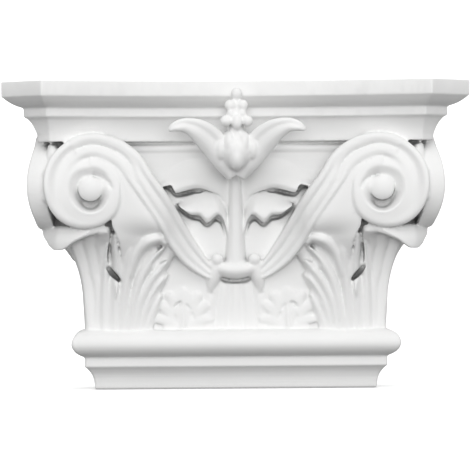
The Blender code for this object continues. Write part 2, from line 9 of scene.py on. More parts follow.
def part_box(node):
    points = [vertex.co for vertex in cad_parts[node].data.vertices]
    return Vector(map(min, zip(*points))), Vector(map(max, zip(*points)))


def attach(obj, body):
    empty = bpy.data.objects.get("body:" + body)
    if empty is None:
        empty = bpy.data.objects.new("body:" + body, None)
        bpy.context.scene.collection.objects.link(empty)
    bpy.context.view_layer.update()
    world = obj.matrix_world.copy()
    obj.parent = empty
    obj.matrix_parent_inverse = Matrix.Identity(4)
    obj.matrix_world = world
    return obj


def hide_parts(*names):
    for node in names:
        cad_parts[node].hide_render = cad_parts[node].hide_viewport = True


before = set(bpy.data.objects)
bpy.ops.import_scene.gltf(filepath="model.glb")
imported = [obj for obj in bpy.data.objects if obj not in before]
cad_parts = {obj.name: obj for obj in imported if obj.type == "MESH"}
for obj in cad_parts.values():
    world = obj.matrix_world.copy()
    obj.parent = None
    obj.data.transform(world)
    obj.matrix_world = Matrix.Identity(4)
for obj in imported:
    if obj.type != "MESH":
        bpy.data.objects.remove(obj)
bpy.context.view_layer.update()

# Sizes, worked out from the box of the capital
LOW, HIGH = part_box("capital")
HALF = (HIGH.x - LOW.x) / 2.0
HEIGHT = HIGH.z - LOW.z
WALL = HIGH.y
FRONT = -LOW.y
NECK_HALF = HALF * 103.5 / 170.0
FACE_Y = FRONT - (HALF - NECK_HALF)
UNIT = HALF / 170.0          # one millimetre at the nominal size
SHIFT = HALF - FRONT         # corner diagonal: (x, y) <-> (SHIFT - y, SHIFT - x)

ABACUS_HEIGHT = 43.3 * UNIT
FASCIA = 11.2 * UNIT
OVOLO = 8.3 * UNIT
FILLET = 6.2 * UNIT
FOOT_INSET = 22.3 * UNIT
FILLET_INSET = 13.6 * UNIT
HOLLOW = 30.0 * UNIT
HORN_CUT = 30.0 * UNIT
COVE = 16.8 * UNIT
NECK_FILLET = 6.8 * UNIT
NECK_OUT = 7.3 * UNIT
TORUS = 19.6 * UNIT
TORUS_OUT = 17.0 * UNIT
BELL_FOOT = COVE + NECK_FILLET + TORUS
BELL_TOP = HEIGHT - ABACUS_HEIGHT
LIP = 5.2 * UNIT
LIP_FOOT = BELL_TOP - 2.2 * UNIT - LIP
OUT_LOW = 3.0 * UNIT
OUT_HIGH = 11.5 * UNIT
ROUND_LOW = 6.0 * UNIT
ROUND_HIGH = 34.0 * UNIT
ARC_HALF = HALF - HORN_CUT
ARC_RADIUS = (ARC_HALF ** 2 + HOLLOW ** 2) / (2.0 * HOLLOW)

EYE_X = 105.7 * UNIT
EYE_Z = BELL_TOP - 34.4 * UNIT
EYE_R = 9.0 * UNIT
# Outer edge of the scroll: turn from its inner side over the top, and radius in millimetres
SPIRAL = (
    (0, 48.4), (22, 45.2), (43, 42.8), (64, 41.5), (83, 40.2), (108, 39.2), (128, 37.5), (152, 35.2),
    (174, 33.6), (200, 32.9), (224, 32.0), (243, 30.6), (270, 28.6), (300, 27.2), (319, 25.3),
    (349, 22.9), (360, 22.6), (405, 23.8), (450, 23.1),
)
FACE_OUT = HALF - NECK_HALF - 21.5 * UNIT
THICK = 15.0 * UNIT

# Places on the bell are drawn in millimetres: across from the middle, and up, with its foot at this height
DRAWN_FOOT = 42.4
ACROSS = EYE_X / 104.4
UPWARD = (EYE_Z - BELL_FOOT) / 101.9

VOXEL = 0.85 * UNIT


# Helpers
def mix(a, b, t):
    return a + (b - a) * t


def on_bell(x, z):
    """Where a place drawn in millimetres lies on the bell."""
    return x * ACROSS, BELL_FOOT + (z - DRAWN_FOOT) * UPWARD


def smooth(t):
    t = np.clip(t, 0.0, 1.0)
    return t * t * (3.0 - 2.0 * t)


def dense(points, per):
    """Smooth curve through rows of numbers, with so many steps a span."""
    p = np.asarray(points, float)
    ends = np.vstack([2.0 * p[0] - p[1], p, 2.0 * p[-1] - p[-2]])
    out = []
    for k in range(len(p) - 1):
        a, b, c, d = ends[k], ends[k + 1], ends[k + 2], ends[k + 3]
        for i in range(per):
            t = i / per
            out.append(0.5 * (2 * b + (c - a) * t + (2 * a - 5 * b + 4 * c - d) * t * t
                              + (3 * b - a - 3 * c + d) * t ** 3))
    out.append(p[-1])
    return np.array(out)


SHELLS = []


def keep(verts, faces, ways=()):
    """Adds a closed shell, and its copies on the left half and the side faces."""
    verts = np.asarray(verts, float)
    SHELLS.append((verts, faces))
    for way in ways:
        v = verts.copy()
        flips = 0
        if "side" in way:
            v[:, 0], v[:, 1] = SHIFT - verts[:, 1], SHIFT - verts[:, 0]
            flips += 1
        if "left" in way:
            v[:, 0] = -v[:, 0]
            flips += 1
        f = [tuple(reversed(q)) for q in faces] if flips == 1 else faces
        SHELLS.append((v, f))


BOTH = ("left", "side", "side_left")


def keep_aside(verts, faces):
    """Adds a shell drawn on the front to the two side faces only."""
    verts = np.asarray(verts, float)
    turned = np.column_stack([SHIFT - verts[:, 1], SHIFT - verts[:, 0], verts[:, 2]])
    keep(turned, [tuple(reversed(f)) for f in faces], ("left",))


def hoop(centre, across, deep):
    """Level ring of 24 points."""
    x, y, z = centre
    turns = [math.pi * 2.0 * i / 24 for i in range(24)]
    return [(x + across * math.cos(a), y + deep * math.sin(a), z) for a in turns]


def tube(rings):
    """Closed shell through rings of equal length."""
    rings = np.asarray(rings, float)
    count, size = rings.shape[:2]
    verts = rings.reshape(-1, 3)
    faces = []
    for i in range(count - 1):
        near, far = i * size, (i + 1) * size
        for j in range(size):
            k = (j + 1) % size
            faces.append((near + j, near + k, far + k, far + j))
    faces.append(tuple(range(size - 1, -1, -1)))
    faces.append(tuple((count - 1) * size + j for j in range(size)))
    return verts, faces


def blob(centre, radii, segments=28, rows=18):
    """Closed ball, or egg."""
    verts = [(0.0, 0.0, -1.0)]
    for i in range(1, rows):
        a = math.pi * i / rows
        for j in range(segments):
            b = 2.0 * math.pi * j / segments
            verts.append((math.sin(a) * math.cos(b), math.sin(a) * math.sin(b), -math.cos(a)))
    verts.append((0.0, 0.0, 1.0))
    faces = []
    for j in range(segments):
        faces.append((0, 1 + (j + 1) % segments, 1 + j))
    for i in range(rows - 2):
        for j in range(segments):
            k = (j + 1) % segments
            a = 1 + i * segments
            faces.append((a + j, a + k, a + segments + k, a + segments + j))
    last = 1 + (rows - 2) * segments
    for j in range(segments):
        faces.append((last + j, last + (j + 1) % segments, len(verts) - 1))
    return np.array(verts) * np.array(radii) + np.array(centre), faces


# Bell, neck and abacus
def bell_out(z):
    t = np.clip((z - BELL_FOOT) / (LIP_FOOT - BELL_FOOT), 0.0, 1.0)
    return mix(OUT_LOW, OUT_HIGH, 0.35 * t + 0.65 * t ** 3)


def bell_round(z):
    t = np.clip((z - BELL_FOOT) / (LIP_FOOT - BELL_FOOT), 0.0, 1.0)
    return mix(ROUND_LOW, ROUND_HIGH, t ** 1.5)


def bell_y(x, z):
    out = bell_out(z)
    radius = bell_round(z)
    past = np.clip(np.abs(x) - (NECK_HALF + out - radius), 0.0, radius * 0.98)
    return -(FACE_Y + out) + radius - np.sqrt(radius ** 2 - past ** 2)


# Hollows cut into the bell under the edges of the leaves, under the calyx and at one drilled eye:
# across, up, half width and depth
HOLLOWS = (
    ((57.6, 144.0, 0.9, 1.4), (52.0, 146.2, 1.1, 2.6), (47.0, 144.6, 1.3, 3.6), (43.0, 140.4, 1.5, 4.6),
     (36.0, 141.4, 1.7, 5.6), (28.0, 143.0, 1.2, 3.6), (21.0, 142.0, 0.9, 1.2)),
    ((41.4, 131.4, 1.1, 2.0), (36.6, 127.2, 1.4, 3.4), (31.0, 124.0, 1.6, 4.4), (25.4, 122.8, 1.6, 4.0),
     (20.4, 118.4, 1.7, 4.4), (14.6, 122.6, 1.5, 3.6), (9.6, 119.4, 1.2, 2.4), (7.0, 110.0, 1.0, 1.0)),
    ((0.0, 78.4, 2.4, 3.6), (7.0, 79.0, 2.4, 3.6), (12.6, 81.2, 1.6, 2.4)),
    ((84.8, 79.2, 1.5, 7.0), (88.2, 83.0, 1.9, 8.0), (91.6, 86.8, 1.5, 7.0)),
)


def bell_hollow(x, z):
    """Depth of the hollows at places on the bell."""
    x, z = np.abs(np.asarray(x, float)), np.asarray(z, float)
    depth = np.zeros(np.broadcast(x, z).shape)
    for line in HOLLOWS:
        spots = dense(line, 4)
        for (ax, az, aw, ad), (bx, bz, bw, bd) in zip(spots[:-1], spots[1:]):
            (x0, z0), (x1, z1) = on_bell(ax, az), on_bell(bx, bz)
            dx, dz = x1 - x0, z1 - z0
            t = np.clip(((x - x0) * dx + (z - z0) * dz) / (dx * dx + dz * dz), 0.0, 1.0)
            far = np.hypot(x - x0 - t * dx, z - z0 - t * dz) / (mix(aw, bw, t) * UNIT)
            depth = np.maximum(depth, mix(ad, bd, t) * UNIT * np.exp(-far ** 4))
    return depth


BEHIND = 6.0 * UNIT      # the shells run on behind the wall plane, where they are cut flat
NF, NC, NS = 208, 12, 20  # steps along the front, round a corner and along a side


def both_halves(pts):
    """Closes a plan drawn down the right side and along the front."""
    pts = np.array(pts)
    count = NS + NC + 1
    left = pts[:count][::-1] * np.array([-1.0, 1.0])
    return np.vstack([pts, left])


def rounded_plan(out, radius, z=None):
    """Straight-sided plan with rounded corners, hollowed where z is given."""
    half = NECK_HALF + out
    front = -(FACE_Y + out)
    pts = [(half, mix(WALL + BEHIND, front + radius, i / NS)) for i in range(NS)]
    for i in range(NC + 1):
        a = math.pi / 2.0 * i / NC
        pts.append((half - radius + radius * math.cos(a), front + radius - radius * math.sin(a)))
    x = np.array([mix(half - radius, -(half - radius), i / NF) for i in range(1, NF)])
    cut = bell_hollow(x, z) if z is not None else np.zeros(len(x))
    pts += list(zip(x, front + cut))
    return both_halves(pts)


def hollow_plan(inset):
    """Plan of the abacus: hollow sides and cut horns."""
    radius = ARC_RADIUS + inset
    centre = -(FRONT - HOLLOW) - ARC_RADIUS
    total = -(HALF + FRONT - HORN_CUT) + math.sqrt(2.0) * inset
    gap = total - centre
    cx = (-gap + math.sqrt(2.0 * radius ** 2 - gap ** 2)) / 2.0
    cy = total + cx
    sx, sy = SHIFT - cy, SHIFT - cx
    pts = []
    for i in range(NS):
        y = mix(WALL + BEHIND, sy, i / NS)
        pts.append((ARC_HALF + ARC_RADIUS - math.sqrt(radius ** 2 - (y - SHIFT) ** 2), y))
    pts += [(mix(sx, cx, i / NC), mix(sy, cy, i / NC)) for i in range(NC + 1)]
    for i in range(1, NF):
        x = mix(cx, -cx, i / NF)
        pts.append((x, centre + math.sqrt(radius ** 2 - x ** 2)))
    return both_halves(pts)


def core():
    rings = []

    def add(plan, z):
        rings.append(np.column_stack([plan, np.full(len(plan), z)]))

    def neck(z, out, radius=1.0 * UNIT):
        add(rounded_plan(out, radius), z)

    def abacus(z, inset):
        add(hollow_plan(inset), z)

    cove = (
        (0.0, 0.0), (2.0, 0.0), (3.8, 0.1), (6.0, 0.45), (8.2, 1.0), (10.4, 1.9), (12.4, 3.1), (13.7, 4.2),
        (14.9, 5.3), (15.5, 5.9), (15.9, 6.2), (16.2, 6.9), (16.8, 7.3), (23.2, 7.3), (23.6, 6.9),
    )
    for z, out in cove:
        neck(z * UNIT, out * UNIT)
    top = COVE + NECK_FILLET
    neck(top + 0.1 * UNIT, NECK_OUT - 3.4 * UNIT)
    neck(top + 1.5 * UNIT, NECK_OUT - 3.4 * UNIT)
    half = (TORUS - 0.2 * UNIT) / 2.0
    mid = top + 0.2 * UNIT + half
    for k in range(-11, 12):
        a = math.pi / 2.0 * k / 12.0
        lean = 1.16 if k > 0 else 1.3
        out = NECK_OUT - 0.5 * UNIT + (TORUS_OUT - NECK_OUT + 0.5 * UNIT) * math.cos(a) ** lean
        neck(mid + half * math.sin(a), out, 2.0 * UNIT)
    for k in range(121):
        z = mix(BELL_FOOT, LIP_FOOT, k / 120.0)
        add(rounded_plan(float(bell_out(z)), float(bell_round(z)), z), z)
    lip = 1.3 * UNIT
    for k in range(9):
        a = math.pi * k / 8.0
        neck(LIP_FOOT + LIP * k / 8.0, OUT_HIGH + lip * math.sin(a) ** 0.5, ROUND_HIGH)
    neck(LIP_FOOT + LIP + 0.4 * UNIT, OUT_HIGH - 0.4 * UNIT, ROUND_HIGH)
    neck(BELL_TOP - 0.2 * UNIT, OUT_HIGH - 0.2 * UNIT, ROUND_HIGH)
    cavetto = ABACUS_HEIGHT - FASCIA - OVOLO - FILLET
    for k in range(17):
        t = 1.0 - k / 16.0
        share = 0.5 * math.sqrt(1.0 - (1.0 - t) ** 2) + 0.5 * math.sin(math.pi / 2.0 * t)
        abacus(BELL_TOP + cavetto * (1.0 - t), mix(FILLET_INSET + 0.6 * UNIT, FOOT_INSET, share))
    z = BELL_TOP + cavetto
    abacus(z + 0.1 * UNIT, FILLET_INSET + 0.3 * UNIT)
    abacus(z + 0.5 * UNIT, FILLET_INSET)
    abacus(z + FILLET - 0.5 * UNIT, FILLET_INSET)
    abacus(z + FILLET - 0.1 * UNIT, FILLET_INSET + 0.4 * UNIT)
    z += FILLET + OVOLO
    splay = (
        (8.25, 14.9), (7.7, 14.6), (7.4, 12.8), (6.9, 11.0), (6.2, 9.2), (5.2, 7.3), (4.0, 5.3), (2.6, 3.5),
        (1.3, 2.1), (0.5, 1.3), (0.1, 0.6), (-0.4, 0.1),
    )
    for drop, inset in splay:
        abacus(z - drop * UNIT, inset * UNIT)
    abacus(HEIGHT, 0.0)
    keep(*tube(rings))


# Carved relief over the bell: its rise at the points of a grid on the right half
STEP = 0.75 * UNIT
GX = np.arange(0.0, 101.5 * UNIT, STEP)
GZ = np.arange(38.0 * UNIT, 172.0 * UNIT, STEP)
XX, ZZ = np.meshgrid(GX, GZ, indexing="ij")
SUNK = -1.2 * UNIT       # where nothing is raised, the relief lies just inside the bell
BARE = -1.0 * UNIT
RISE = np.full(XX.shape, SUNK)


def along(path):
    """Distance of every grid point from a smooth path, and the path's half width and height there."""
    p = np.array(path, float)
    p[:, 0], p[:, 1] = on_bell(p[:, 0], p[:, 1])
    p[:, 2:] *= UNIT
    p = dense(p, 8)
    best = np.full(XX.shape, 1e9)
    half = np.ones(XX.shape)
    rise = np.zeros(XX.shape)
    reach = p[:, 2].max() + 2.0 * UNIT
    for a, b in zip(p[:-1], p[1:]):
        i0, i1 = np.searchsorted(GX, (min(a[0], b[0]) - reach, max(a[0], b[0]) + reach))
        j0, j1 = np.searchsorted(GZ, (min(a[1], b[1]) - reach, max(a[1], b[1]) + reach))
        if i1 <= i0 or j1 <= j0:
            continue
        s = (slice(i0, i1), slice(j0, j1))
        dx, dz = b[0] - a[0], b[1] - a[1]
        size = dx * dx + dz * dz + 1e-18
        px, pz = XX[s] - a[0], ZZ[s] - a[1]
        t = np.clip((px * dx + pz * dz) / size, 0.0, 1.0)
        qx, qz = px - t * dx, pz - t * dz
        d = np.hypot(qx, qz)
        near = d < best[s]
        best[s] = np.where(near, d, best[s])
        half[s] = np.where(near, mix(a[2], b[2], t), half[s])
        rise[s] = np.where(near, mix(a[3], b[3], t), rise[s])
    return best, half, rise


def finger(path, gouge, crown):
    """One rounded lobe through (across, up, half width, height); gouge hollows its middle."""
    global RISE
    d, half, rise = along(path)
    u = d / half
    body = np.clip(1.0 - u ** 2, 0.0, 1.0) ** (crown * 0.8)
    body = body * (1.0 - gouge * np.exp(-(u / 0.42) ** 2))
    RISE = np.where(u < 1.0, np.maximum(RISE, rise * body), RISE)


def groove(path):
    """Cut line through (across, up, half width, depth)."""
    global RISE
    d, half, depth = along(path)
    cut = depth * np.exp(-(d / half) ** 2)
    RISE = RISE - np.where(RISE > BARE, cut, 0.0)


def drill(x, z, rx, rz, turn, depth):
    """Drilled eye between two lobes."""
    global RISE
    a = math.radians(turn)
    x0, z0 = on_bell(x, z)
    px, pz = XX - x0, ZZ - z0
    qx = px * math.cos(a) + pz * math.sin(a)
    qz = -px * math.sin(a) + pz * math.cos(a)
    r = np.sqrt((qx / (rx * UNIT)) ** 2 + (qz / (rz * UNIT)) ** 2)
    RISE = RISE - depth * UNIT * smooth((1.25 - r) / 0.6)


def relief():
    # Fan of shallow ribs at the foot of the bell
    for x0, x1 in ((0.0, 0.0), (9.5, 8.0), (18.5, 16.0)):
        finger([(x1, 73, 3.4, 1.5), (x0, 60, 4.4, 1.4), (x0 * 1.1, 44, 5.4, 1.4)], 0.0, 1.0)
    # Low spreading leaf
    finger([(38.0, 44.0, 15.0, 2.3), (38.0, 54.0, 15.5, 2.7), (38.0, 62.0, 10.0, 2.8)], 0.0, 0.42)
    tips = ((56.0, 50.0, 4.6), (54.0, 60.0, 5.2), (47.0, 66.5, 5.6), (37.5, 69.0, 5.6),
            (28.0, 66.5, 5.6), (21.4, 60.0, 5.2), (19.0, 50.0, 4.6))
    for x, z, half in tips:
        mid = (mix(38.0, x, 0.55), mix(46.0, z, 0.55) + 1.0)
        finger([(38.0, 46.0, 4.2, 2.7), (mid[0], mid[1], half, 3.1), (x, z, half * 0.75, 2.9)], 0.10, 0.8)
    finger([(37.6, 58.5, 2.0, 3.4), (37.8, 52.0, 3.2, 4.4), (38.2, 45.0, 3.4, 4.4)], 0.0, 0.8)
    # Half leaf beside the corner leaf: its body, then lobes fanned towards the middle
    finger([(82.0, 40, 17.0, 5.6), (80.0, 60, 17.0, 8.0), (76.0, 80, 16.0, 11.6), (70.0, 95, 14.0, 15.4),
            (65.0, 104, 11.0, 18.5)], 0.0, 0.30)
    finger([(72.0, 40, 12.0, 4.6), (68.0, 62, 11.0, 7.4), (61.0, 77, 8.6, 10.0), (55.6, 88, 5.4, 11.4)],
           0.0, 0.35)
    finger([(95.0, 42, 4.4, 6.0), (95.0, 60, 4.4, 7.4), (94.0, 80, 4.4, 10.0), (92.6, 96, 4.4, 14.0),
            (92.0, 106, 3.6, 18.0)], 0.0, 0.7)
    finger([(88.0, 42, 4.4, 6.6), (87.5, 60, 4.6, 9.0), (86.5, 78, 4.8, 12.6), (86.0, 92, 4.6, 18.0),
            (86.6, 101, 4.2, 23.0), (86.8, 111, 3.4, 28.0)], 0.0, 0.7)
    finger([(82.0, 42, 5.0, 7.0), (80.4, 64, 5.6, 10.6), (78.6, 84, 6.0, 15.4), (77.0, 98, 6.4, 21.0),
            (76.0, 105, 6.6, 22.6)], 0.0, 0.6)
    finger([(66.0, 42, 4.4, 5.0), (61.5, 53, 4.3, 6.4), (57.6, 61.5, 3.4, 7.0), (54.6, 67, 1.9, 6.4)],
           0.0, 0.8)
    finger([(69.6, 42, 5.0, 5.8), (66.0, 56, 5.2, 8.0), (60.2, 69, 5.0, 9.8), (53.6, 78.4, 3.8, 10.4),
            (50.2, 82.4, 2.0, 9.6)], 0.0, 0.75)
    finger([(73.0, 42, 5.2, 6.6), (70.4, 60, 5.8, 9.6), (64.0, 75, 5.8, 12.2), (56.0, 86, 4.8, 13.8),
            (50.4, 91.6, 2.7, 13.2)], 0.0, 0.75)
    finger([(77.0, 42, 5.4, 7.0), (74.6, 62, 6.2, 10.6), (69.4, 79, 6.2, 14.0), (61.4, 92.0, 5.6, 17.0),
            (55.4, 99.0, 3.8, 18.0), (52.6, 101.6, 2.4, 17.0)], 0.0, 0.7)
    finger([(76.0, 84, 6.0, 15.4), (71.0, 98, 8.0, 21.0), (63.0, 106.5, 8.4, 27.0),
            (55.8, 108.5, 6.0, 26.0), (51.8, 105.5, 3.4, 21.5)], 0.0, 0.55)
    finger([(82.5, 80, 5.0, 13.0), (82.5, 94, 5.0, 17.5), (82.5, 104, 5.0, 21.0), (82.5, 112, 4.0, 23.6)],
           0.0, 0.5)
    finger([(60.0, 84, 8.0, 8.6), (52.6, 94, 6.6, 9.4), (47.0, 103, 5.6, 10.4), (43.6, 110, 4.0, 10.4)],
           0.0, 0.5)
    # Stem, flared at its foot
    finger([(0, 88, 8.4, 7.6), (0, 97, 7.4, 8.0), (0, 110, 6.4, 8.0), (0, 126, 5.4, 8.0),
            (0, 142, 4.6, 8.0), (0, 160, 3.8, 7.6)], 0.0, 0.75)
    groove([(0, 97, 1.2, 0.3), (0, 118, 1.3, 0.8), (0, 154, 1.1, 0.8)])
    # Calyx where the stalks spring, and the tongue that hangs from its end
    finger([(0, 85.2, 6.4, 10.5), (7, 86.0, 5.8, 10.2), (13, 87.6, 5.0, 9.0), (18, 90.0, 3.4, 7.4)],
           0.0, 0.6)
    finger([(14.5, 86, 5.4, 8.8), (16.5, 79, 5.0, 7.4), (18.5, 71.5, 2.6, 3.6)], 0.0, 0.7)
    groove([(23.0, 77.0, 1.0, 1.0), (20.6, 72.6, 1.0, 1.8), (17.6, 67.6, 0.9, 1.0)])
    # Drilled eyes, and cuts between the lobes
    drill(88.2, 83.0, 1.8, 6.8, -42.0, 16.0)
    drill(91.2, 98.5, 1.1, 7.6, 4.0, 5.0)
    drill(42.0, 60.6, 1.6, 3.2, 48.0, 3.4)
    drill(34.6, 58.8, 1.2, 3.0, -40.0, 1.4)
    drill(31.6, 52.6, 1.2, 3.0, -12.0, 1.2)
    drill(43.8, 50.6, 1.3, 3.4, -10.0, 1.2)
    finger([(86.4, 76.5, 1.8, 12.6), (86.3, 71.5, 2.7, 13.4), (86.8, 66.0, 1.6, 11.4)], 0.0, 0.9)
    groove([(82.4, 108.0, 1.8, 1.6), (82.2, 94.0, 1.6, 1.6), (83.6, 72.0, 1.3, 1.0)])
    groove([(53.4, 98.2, 1.1, 2.4), (56.4, 94.4, 1.3, 4.4), (60.4, 89.4, 1.1, 2.4)])
    groove([(47.8, 87.0, 0.9, 2.0), (49.8, 83.6, 1.2, 3.6), (51.6, 80.4, 0.9, 1.6)])
    groove([(51.0, 78.4, 1.0, 1.4), (54.6, 73.1, 1.2, 2.6), (58.2, 68.1, 1.1, 1.8),
            (61.9, 62.3, 0.9, 0.8)])
    groove([(54.6, 87.6, 1.4, 0.9), (61.9, 83.3, 1.6, 1.1), (66.9, 74.6, 1.4, 0.9),
            (69.2, 69.0, 1.2, 0.4)])
    groove([(55.6, 104.6, 1.2, 3.0), (60.6, 102.4, 1.7, 4.6), (65.6, 97.2, 2.1, 4.6),
            (70.6, 88.8, 2.1, 3.6), (74.2, 78.2, 1.9, 2.6), (77.0, 64.0, 1.6, 1.7), (78.6, 54.0, 1.3, 0.9)])


# Leaf beside the stem
def tier(upper, lower, height, scallop, root):
    """Drooping sheet between an upper edge on the bell and a scalloped lower edge in front of it."""
    up, low = dense(upper, 10), dense(lower, 10)
    across = np.linspace(0.0, 1.0, 15)
    rings = []
    last = len(up) - 1
    for i in range(last + 1):
        v = i / last
        grow = mix(root, 1.0, float(smooth((v - 0.06) * 1.9))) - 0.12 * v ** 4
        fold = 1.0 - 0.14 * float(np.exp(-((v - scallop) / 0.05) ** 2))
        ring = []
        for u in across:
            x, z = on_bell(mix(up[i, 0], low[i, 0], u), mix(up[i, 1], low[i, 1], u))
            body = 0.06 + 0.94 * math.sin(math.pi / 2.0 * min(1.0, u * 1.12)) ** 1.5
            curl = 0.26 * float(smooth((u - 0.86) / 0.14))
            vein = 0.06 * math.sin(v * math.pi * 5.0) * u
            rise = height * grow * fold * (body - curl + vein)
            ring.append((x, float(bell_y(x, z)) - rise * UNIT, z))
        for u in (0.99, 0.72, 0.40, 0.03):
            x, z = on_bell(mix(up[i, 0], low[i, 0], u), mix(up[i, 1], low[i, 1], u))
            rise = height * grow * (0.32 if u > 0.9 else 0.10 if u > 0.6 else -0.3)
            lift = 0.8 * UNIT if u > 0.6 else 0.0
            ring.append((x, float(bell_y(x, z)) - rise * UNIT, z + lift))
        rings.append(ring)
    keep(*tube(rings), ("left",))


def side_leaf():
    """The leaf's two tiers."""
    upper_top = ((0.6, 146.0), (4.0, 154.5), (11.0, 161.5), (21.0, 165.0), (32.0, 165.0), (42.0, 161.5),
                 (48.5, 156.5), (53.5, 151.6), (57.4, 146.8))
    upper_low = ((2.0, 125.0), (5.6, 132.5), (10.5, 138.4), (18.0, 142.0), (27.5, 144.6), (37.0, 142.6),
                 (43.6, 141.2), (46.2, 146.6), (56.6, 144.6))
    lower_top = ((1.2, 100.0), (2.6, 112.0), (4.4, 124.0), (8.4, 134.0), (14.5, 140.4), (21.5, 142.4),
                 (28.5, 140.6), (35.0, 138.0), (39.5, 135.6), (41.6, 133.6))
    lower_low = ((2.2, 92.0), (4.4, 102.0), (6.4, 112.0), (9.0, 121.4), (13.0, 125.2), (20.4, 119.6),
                 (26.0, 124.8), (32.0, 125.4), (37.4, 128.4), (41.8, 132.8))
    tier(upper_top, upper_low, 9.0, 0.86, 0.02)
    tier(lower_top, lower_low, 10.5, 0.67, 0.25)


# Wall between the coil and the stalk
def cheek():
    # In millimetres from the eye: inner and outer edge, each across and up, then how far the wall sinks
    # and its share of the volute's stand at either edge
    marks = (
        (15.0, 15.0, 17.8, 18.0, 2.6, 1.00, 1.00), (18.8, 10.5, 23.8, 11.8, 2.6, 1.00, 1.00),
        (20.8, 0.5, 31.2, 1.4, 2.6, 1.00, 1.00), (20.4, -10.0, 39.2, -10.5, 2.5, 1.00, 1.00),
        (16.5, -19.0, 46.6, -22.6, 2.5, 1.00, 1.00), (15.5, -26.0, 50.4, -30.0, 2.8, 1.00, 0.86),
        (19.0, -34.0, 52.5, -36.0, 3.0, 0.96, 0.48), (21.0, -40.0, 52.0, -41.0, 3.0, 0.80, 0.28),
        (22.0, -47.0, 49.0, -47.0, 2.6, 0.55, 0.16), (23.0, -54.0, 45.0, -54.0, 2.2, 0.32, 0.08),
        (24.0, -61.0, 42.0, -61.0, 1.2, 0.14, 0.02),
    )
    rows = dense(marks, 6)
    for aside in (False, True):
        rings = []
        for ax, az, bx, bz, sink, near_share, far_share in rows:
            ring = []
            for u in np.linspace(0.0, 1.0, 19):
                down = mix(az, bz, u)
                x, z = EYE_X - mix(ax, bx, u) * UNIT, EYE_Z + down * UNIT
                low = float(bell_y(x, z)) - (1.0 if aside else 8.0) * UNIT
                share = mix(near_share, far_share, u)
                if aside:
                    share *= 1.0 - float(smooth((-32.0 - down) / 12.0))
                swell = 0.9 * (1.0 - u) ** 4 + 2.2 * u ** 8 - 0.4 * math.sin(math.pi * u)
                ring.append((x, mix(low, volute_y(x, z) + sink * UNIT, share) + swell * UNIT, z))
            for x, z in ((bx, bz), (ax, az)):
                px, pz = EYE_X - x * UNIT, EYE_Z + z * UNIT
                ring.append((px, float(bell_y(px, pz)) + 5.0 * UNIT, pz))
            rings.append(ring)
        if aside:
            keep_aside(*tube(rings))
        else:
            keep(*tube(rings), ("left",))


def relief_slab(share):
    """The raised work, or a share of it, as a closed slab sunk a little into the bell."""
    xs = np.concatenate([-GX[:0:-1], GX])
    rise = np.concatenate([RISE[:0:-1], RISE], axis=0)
    x2, z2 = np.meshgrid(xs, GZ, indexing="ij")
    base = bell_y(x2, z2)
    rise = np.where(rise < BARE, rise - bell_hollow(x2, z2), rise * share)
    front = np.stack([x2, base - rise, z2], axis=-1)
    back = np.stack([x2, base + 12.0 * UNIT, z2], axis=-1)
    wide, tall = x2.shape
    verts = np.concatenate([front.reshape(-1, 3), back.reshape(-1, 3)])
    off = wide * tall
    i, j = np.meshgrid(np.arange(wide - 1), np.arange(tall - 1), indexing="ij")
    a = (i * tall + j).ravel()
    quads = np.stack([a, a + tall, a + tall + 1, a + 1], axis=1).tolist()
    faces = [tuple(q) for q in quads]
    faces += [tuple(reversed([c + off for c in q])) for q in quads]
    rim = [i * tall for i in range(wide)] + [(wide - 1) * tall + j for j in range(1, tall)]
    rim += [i * tall + tall - 1 for i in range(wide - 2, -1, -1)] + list(range(tall - 2, 0, -1))
    for p, q in zip(rim, rim[1:] + rim[:1]):
        faces.append((q, p, p + off, q + off))
    return verts, faces


# Volutes and stalks
def spiral_radius(turn):
    """Outer radius of the scroll: up over the top, out, and round below to the inner side."""
    turns, radii = zip(*SPIRAL)
    return float(np.interp(turn, turns, radii)) * UNIT


def round_eye(radius, turn):
    """Place at a radius from the middle of the eye, across and up."""
    a = math.radians(180.0 - turn)
    return EYE_X + radius * math.cos(a), EYE_Z + radius * math.sin(a)


def volute_y(x, z):
    """Front of the volutes, crowned a little from top to foot and flared towards the corner."""
    up, outward = (z - EYE_Z) / UNIT, (x - EYE_X) / UNIT
    crown = (0.0018 if up > 0.0 else 0.0040) * min(abs(up), 34.0) ** 2
    flare = 0.03 * outward + 0.0115 * max(0.0, outward - 14.0) ** 2
    return -(FACE_Y + FACE_OUT) + (0.8 + crown - flare) * UNIT


def tail(x, z):
    """Cut that runs on from the top of the eye."""
    px, pz = (EYE_X - x) / UNIT, (z - EYE_Z) / UNIT
    spots = ((2.6, 10.0), (8.7, 8.0), (13.4, 4.6), (15.2, 0.6))
    best = 99.0
    for (ax, az), (bx, bz) in zip(spots[:-1], spots[1:]):
        dx, dz = bx - ax, bz - az
        t = min(1.0, max(0.0, ((px - ax) * dx + (pz - az) * dz) / (dx * dx + dz * dz)))
        best = min(best, math.hypot(px - ax - t * dx, pz - az - t * dz) / mix(1.3, 1.0, t))
    return 2.6 * UNIT * math.exp(-best ** 2)


# Sections from the outer edge (0) to the inner one (1), with how deep each place lies
STALK_FORM = (
    (0.0, 1.8), (0.05, 0.6), (0.14, 0.0), (0.24, 0.3), (0.33, 2.0), (0.37, 2.6), (0.42, 1.6), (0.52, 0.4),
    (0.62, 0.6), (0.70, 1.5), (0.74, 2.1), (0.79, 1.2), (0.87, 0.3), (0.95, 1.0), (1.0, 2.8),
)
SCROLL_FORM = (
    (0.0, 1.8), (0.03, 1.0), (0.07, 0.5), (0.13, 0.15), (0.20, 0.0), (0.28, 0.3), (0.36, 0.9), (0.42, 1.8),
    (0.465, 3.6), (0.51, 2.5), (0.58, 1.2), (0.67, 0.9), (0.765, 0.8), (0.906, 1.7), (1.0, 4.4),
)
